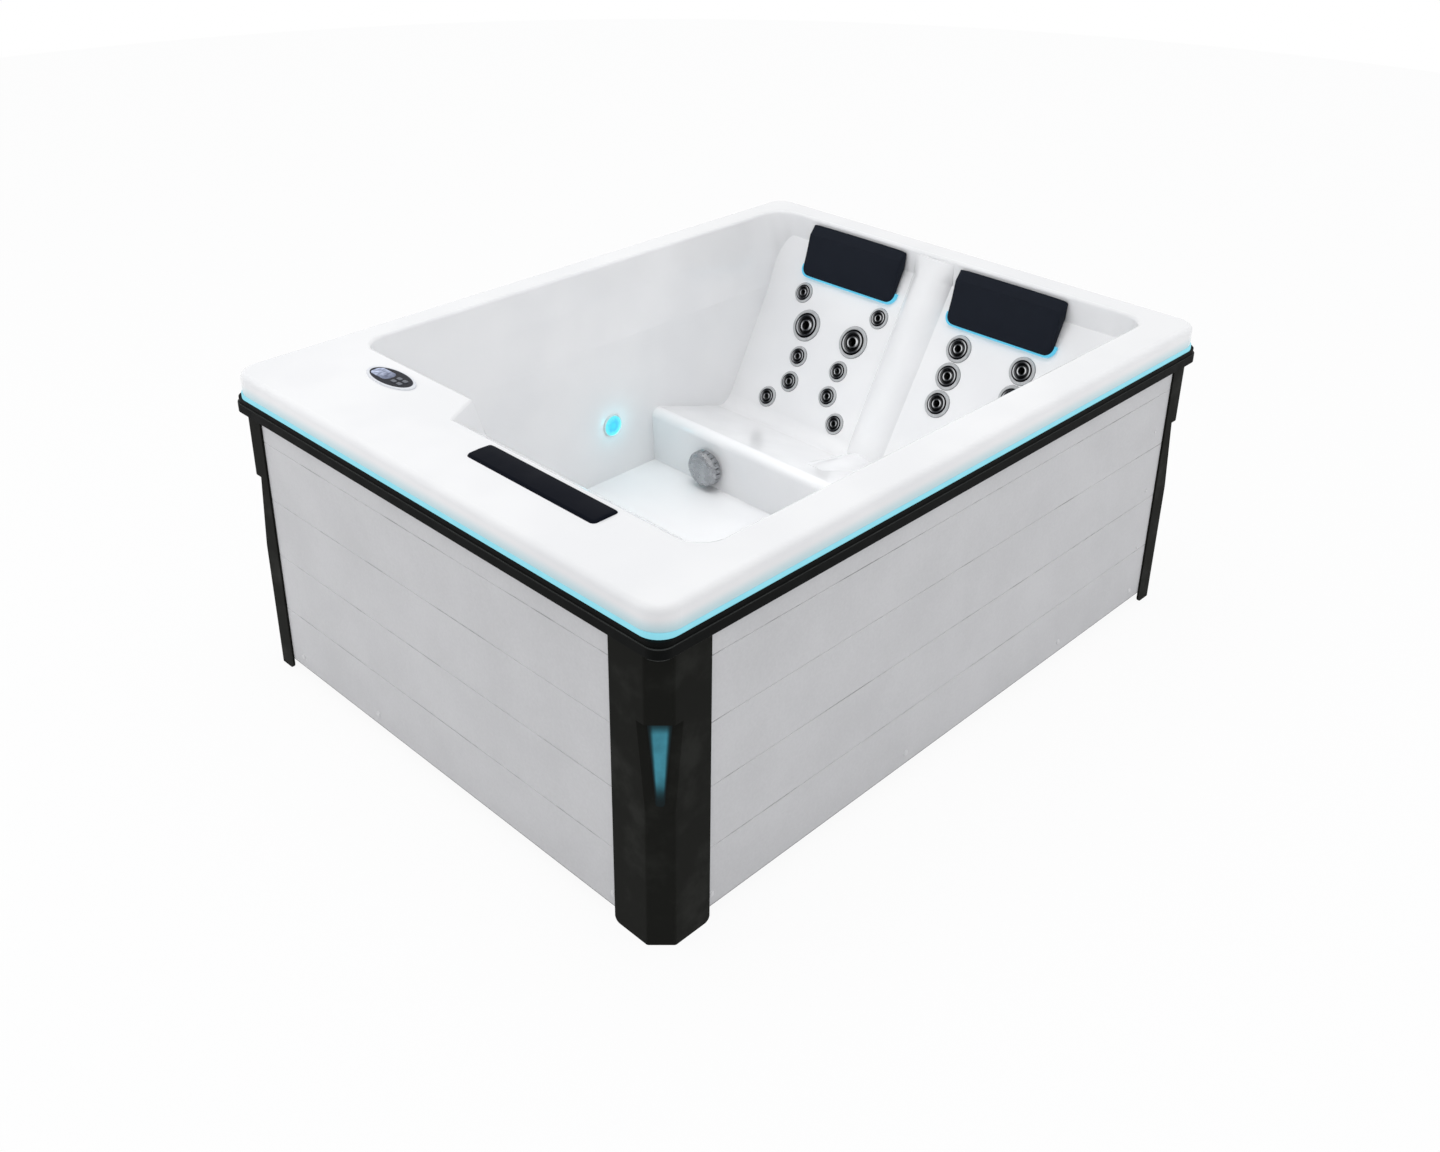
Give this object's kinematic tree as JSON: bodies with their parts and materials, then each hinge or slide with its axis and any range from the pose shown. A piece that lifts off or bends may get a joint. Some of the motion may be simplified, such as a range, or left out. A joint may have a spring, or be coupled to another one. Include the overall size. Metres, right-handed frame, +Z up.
{
  "type": "hot tub",
  "caption": "Rectangular hot tub with a moulded white basin, two reclined seats with pillows, a bench seat, turning jets, a lit rim, planked side panels and dark corner posts.",
  "frame": {"origin": "centre of the footprint on the floor", "axes": "+X towards the end with the two reclined seats, +Y towards the side with the underwater light, +Z up"},
  "size_m": [2.1, 1.6, 0.887],
  "materials": {
    "shell_acrylic": "smooth glossy acrylic",
    "panel_plastic": "fine mottled grain, satin",
    "post_plastic": "matt charcoal moulding",
    "trim_plastic": "satin black",
    "light_strip": "frosted, lit cyan",
    "post_lens": "frosted, lit teal",
    "pillow_skin": "closed soft foam skin",
    "fitting_grey": "moulded grey",
    "jet_steel": "polished face over a dark insert",
    "button_plastic": "gloss keys",
    "suction_chrome": "polished",
    "fitting_dark": "moulded black",
    "lamp_lens": "frosted, lit cyan",
    "drain_white": "moulded white",
    "panel_black": "gloss black",
    "display": "lit display window",
    "cap_white": "small domed caps",
    "timber": "planed softwood",
    "tray_plastic": "formed base tray",
    "pump_paint": "moulded motor case",
    "heater_steel": "stainless tube",
    "box_grey": "closed control box",
    "pipe_white": "rigid water pipe",
    "hose_grey": "flexible water hose"
  },
  "bodies": {
    "tub": {"air_blower": "fitting_dark", "base_tray": "tray_plastic", "control_box": "box_grey", "control_panel": "panel_black", "corner_post_foot_left": "post_plastic", "corner_post_foot_right": "post_plastic", "corner_post_head_left": "post_plastic", "corner_post_head_right": "post_plastic", "display_window": "display", "floor_drain": "drain_white", "heater": "heater_steel", "jet_bodies_large": "fitting_grey", "jet_bodies_medium": "fitting_grey", "jet_bodies_small": "fitting_grey", "jet_hoses": "hose_grey", "jet_pump": "pump_paint", "light_housing": "fitting_grey", "light_lens": "lamp_lens", "panel_screw_caps": "cap_white", "pillow_foot": "pillow_skin", "pillow_left": "pillow_skin", "pillow_lights": "light_strip", "pillow_right": "pillow_skin", "post_lenses": "post_lens", "rim_light_strip": "light_strip", "side_panel_foot": "panel_plastic", "side_panel_head": "panel_plastic", "side_panel_left": "panel_plastic", "side_panel_right": "panel_plastic", "suction_body": "fitting_dark", "suction_cover": "suction_chrome", "timber_frame": "timber", "trim_corners": "trim_plastic", "trim_rails_long": "trim_plastic", "trim_rails_short": "trim_plastic", "tub_shell": "shell_acrylic", "water_pipes": "pipe_white"},
    "face_a1_left": {"jet_face_a1_left": "jet_steel"},
    "face_a1_right": {"jet_face_a1_right": "jet_steel"},
    "face_a2_left": {"jet_face_a2_left": "jet_steel"},
    "face_a2_right": {"jet_face_a2_right": "jet_steel"},
    "face_a3_left": {"jet_face_a3_left": "jet_steel"},
    "face_a3_right": {"jet_face_a3_right": "jet_steel"},
    "face_a4_left": {"jet_face_a4_left": "jet_steel"},
    "face_a4_right": {"jet_face_a4_right": "jet_steel"},
    "face_a_large1_left": {"jet_face_a_large1_left": "jet_steel"},
    "face_a_large1_right": {"jet_face_a_large1_right": "jet_steel"},
    "face_b1_left": {"jet_face_b1_left": "jet_steel"},
    "face_b1_right": {"jet_face_b1_right": "jet_steel"},
    "face_b2_left": {"jet_face_b2_left": "jet_steel"},
    "face_b2_right": {"jet_face_b2_right": "jet_steel"},
    "face_b3_left": {"jet_face_b3_left": "jet_steel"},
    "face_b3_right": {"jet_face_b3_right": "jet_steel"},
    "face_c1_left": {"jet_face_c1_left": "jet_steel"},
    "face_c1_right": {"jet_face_c1_right": "jet_steel"},
    "button_1_1": {"panel_button_1_1": "button_plastic"},
    "button_1_2": {"panel_button_1_2": "button_plastic"},
    "button_2_1": {"panel_button_2_1": "button_plastic"},
    "button_2_2": {"panel_button_2_2": "button_plastic"}
  },
  "joints": [
    {"name": "turn_a1_left", "type": "hinge", "parent": "tub", "child": "face_a1_left", "pos_m": [0.86735, 0.52, 0.65193], "axis": [-0.8681, 0, 0.4963], "range_deg": [0, 120]},
    {"name": "turn_a1_right", "type": "hinge", "parent": "tub", "child": "face_a1_right", "pos_m": [0.86735, 0.2, 0.65193], "axis": [-0.8681, 0, 0.4963], "range_deg": [0, 120]},
    {"name": "turn_a2_left", "type": "hinge", "parent": "tub", "child": "face_a2_left", "pos_m": [0.7656, 0.446, 0.47396], "axis": [-0.8681, 0, 0.4963], "range_deg": [0, 120]},
    {"name": "turn_a2_right", "type": "hinge", "parent": "tub", "child": "face_a2_right", "pos_m": [0.7656, 0.274, 0.47396], "axis": [-0.8681, 0, 0.4963], "range_deg": [0, 120]},
    {"name": "turn_a3_left", "type": "hinge", "parent": "tub", "child": "face_a3_left", "pos_m": [0.72193, 0.443, 0.39756], "axis": [-0.8681, 0, 0.4963], "range_deg": [0, 120]},
    {"name": "turn_a3_right", "type": "hinge", "parent": "tub", "child": "face_a3_right", "pos_m": [0.72193, 0.277, 0.39756], "axis": [-0.8681, 0, 0.4963], "range_deg": [0, 120]},
    {"name": "turn_a4_left", "type": "hinge", "parent": "tub", "child": "face_a4_left", "pos_m": [0.6852, 0.507, 0.33332], "axis": [-0.8681, 0, 0.4963], "range_deg": [0, 120]},
    {"name": "turn_a4_right", "type": "hinge", "parent": "tub", "child": "face_a4_right", "pos_m": [0.6852, 0.213, 0.33332], "axis": [-0.8681, 0, 0.4963], "range_deg": [0, 120]},
    {"name": "turn_a_large1_left", "type": "hinge", "parent": "tub", "child": "face_a_large1_left", "pos_m": [0.81772, 0.46, 0.56511], "axis": [-0.8681, 0, 0.4963], "range_deg": [0, 120]},
    {"name": "turn_a_large1_right", "type": "hinge", "parent": "tub", "child": "face_a_large1_right", "pos_m": [0.81772, 0.26, 0.56511], "axis": [-0.8681, 0, 0.4963], "range_deg": [0, 120]},
    {"name": "turn_b1_left", "type": "hinge", "parent": "tub", "child": "face_b1_left", "pos_m": [0.86338, -0.118, 0.64498], "axis": [-0.8681, 0, 0.4963], "range_deg": [0, 120]},
    {"name": "turn_b1_right", "type": "hinge", "parent": "tub", "child": "face_b1_right", "pos_m": [0.86338, -0.35, 0.64498], "axis": [-0.8681, 0, 0.4963], "range_deg": [0, 120]},
    {"name": "turn_b2_left", "type": "hinge", "parent": "tub", "child": "face_b2_left", "pos_m": [0.81871, -0.118, 0.56685], "axis": [-0.8681, 0, 0.4963], "range_deg": [0, 120]},
    {"name": "turn_b2_right", "type": "hinge", "parent": "tub", "child": "face_b2_right", "pos_m": [0.81871, -0.35, 0.56685], "axis": [-0.8681, 0, 0.4963], "range_deg": [0, 120]},
    {"name": "turn_b3_left", "type": "hinge", "parent": "tub", "child": "face_b3_left", "pos_m": [0.77404, -0.118, 0.48872], "axis": [-0.8681, 0, 0.4963], "range_deg": [0, 120]},
    {"name": "turn_b3_right", "type": "hinge", "parent": "tub", "child": "face_b3_right", "pos_m": [0.77404, -0.35, 0.48872], "axis": [-0.8681, 0, 0.4963], "range_deg": [0, 120]},
    {"name": "turn_c1_left", "type": "hinge", "parent": "tub", "child": "face_c1_left", "pos_m": [-0.6767, -0.128, 0.56], "axis": [0.9959, 0, 0.0909], "range_deg": [0, 120]},
    {"name": "turn_c1_right", "type": "hinge", "parent": "tub", "child": "face_c1_right", "pos_m": [-0.6767, -0.338, 0.56], "axis": [0.9959, 0, 0.0909], "range_deg": [0, 120]},
    {"name": "press_1_1", "type": "slide", "parent": "tub", "child": "button_1_1", "axis": [0, 0, -1], "range_m": [0, 0.001], "stiffness_N_per_m": 1500},
    {"name": "press_1_2", "type": "slide", "parent": "tub", "child": "button_1_2", "axis": [0, 0, -1], "range_m": [0, 0.001], "stiffness_N_per_m": 1500},
    {"name": "press_2_1", "type": "slide", "parent": "tub", "child": "button_2_1", "axis": [0, 0, -1], "range_m": [0, 0.001], "stiffness_N_per_m": 1500},
    {"name": "press_2_2", "type": "slide", "parent": "tub", "child": "button_2_2", "axis": [0, 0, -1], "range_m": [0, 0.001], "stiffness_N_per_m": 1500}
  ]
}
